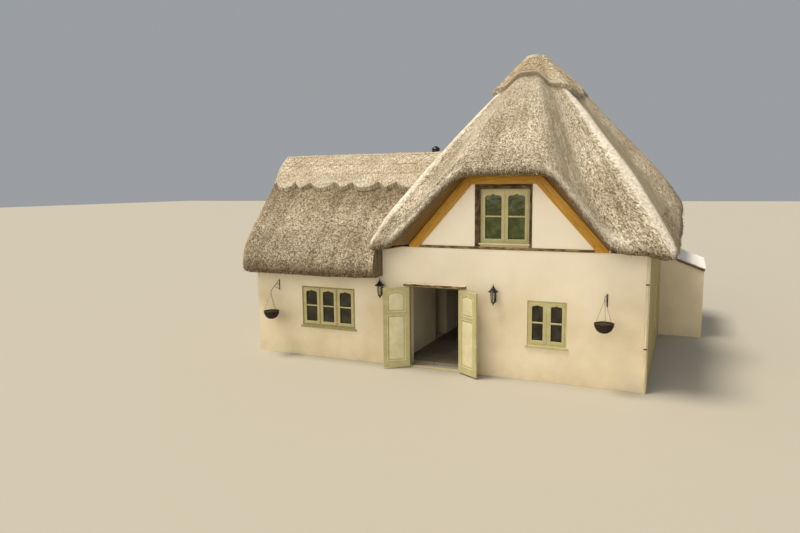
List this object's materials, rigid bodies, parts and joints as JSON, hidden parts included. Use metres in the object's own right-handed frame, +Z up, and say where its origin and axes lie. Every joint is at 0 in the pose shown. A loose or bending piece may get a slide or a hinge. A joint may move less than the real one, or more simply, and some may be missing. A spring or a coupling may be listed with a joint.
{
  "type": "thatched cottage",
  "caption": "Thatched cottage with rendered walls, hipped main roof over a boarded gable, lower wing, lean-to, sage joinery and a pair of doors that open.",
  "frame": {"origin": "on the ground, under the middle of the main block", "axes": "+X to the right along the front wall, +Y from the front wall to the back, +Z up"},
  "size_m": [11.406, 10.28, 7.522],
  "materials": {
    "render": "lime render, painted cream, matt",
    "thatch": "water reed thatch, weathered",
    "ridge_thatch": "block-cut straw ridge, with hazel ligger rods",
    "sage_paint": "softwood joinery, sage-green satin paint",
    "stained_board": "softwood boards, orange-brown stain",
    "dark_oak": "weathered oak, dark",
    "black_iron": "black paint, satin",
    "cream_pipe": "cream gloss paint",
    "glass": "clear window glass",
    "floor_boards": "joists and pine boards",
    "screed": "stone flags on screed",
    "slate": "pale tiles",
    "coir": "coir liner in a wire basket, filled with compost"
  },
  "bodies": {
    "house": {"front_wall_left": "render", "front_wall_over_door": "render", "front_wall_right": "render", "left_wall": "render", "right_wall": "render", "back_wall": "render", "main_floor": "screed", "first_floor": "floor_boards", "wing_floor": "screed", "front_gable_wall": "render", "rear_gable_wall": "render", "timber_plate": "dark_oak", "gable_window_posts": "dark_oak", "bargeboard_left": "stained_board", "bargeboard_top": "stained_board", "bargeboard_right": "stained_board", "front_soffit": "stained_board", "rear_verge_boards": "stained_board", "door_frame": "sage_paint", "door_lintel": "dark_oak", "wing_front_wall": "render", "wing_back_wall": "render", "wing_end_wall": "render", "leanto_walls": "render", "leanto_roof": "slate", "main_thatch": "thatch", "main_ridge_cap": "ridge_thatch", "wing_thatch": "thatch", "wing_ridge_cap": "ridge_thatch", "lantern_left": "black_iron", "lantern_right": "black_iron", "basket_bracket_left": "black_iron", "basket_left": "coir", "basket_bracket_right": "black_iron", "basket_right": "coir", "corner_pipe": "cream_pipe", "flue": "black_iron", "front_window_frame": "sage_paint", "front_window_glass": "glass", "side_window_frame": "sage_paint", "side_window_glass": "glass", "wing_window_frame": "sage_paint", "wing_window_glass": "glass", "rear_window_frame": "sage_paint", "rear_window_glass": "glass", "gable_window_frame": "sage_paint", "gable_window_glass": "glass", "rear_gable_window_frame": "sage_paint", "rear_gable_window_glass": "glass", "eyebrow_window_frame": "sage_paint", "eyebrow_window_glass": "glass"},
    "left_door": {"door_left": "sage_paint"},
    "right_door": {"door_right": "sage_paint"}
  },
  "joints": [
    {"name": "left_door_hinge", "type": "hinge", "parent": "house", "child": "left_door", "pos_m": [-2.35, -4.52, 0.35], "axis": [0, 0, -1], "range_deg": [-147, 20]},
    {"name": "right_door_hinge", "type": "hinge", "parent": "house", "child": "right_door", "pos_m": [-1.05, -4.52, 0.35], "axis": [0, 0, 1], "range_deg": [-147, 20]}
  ]
}
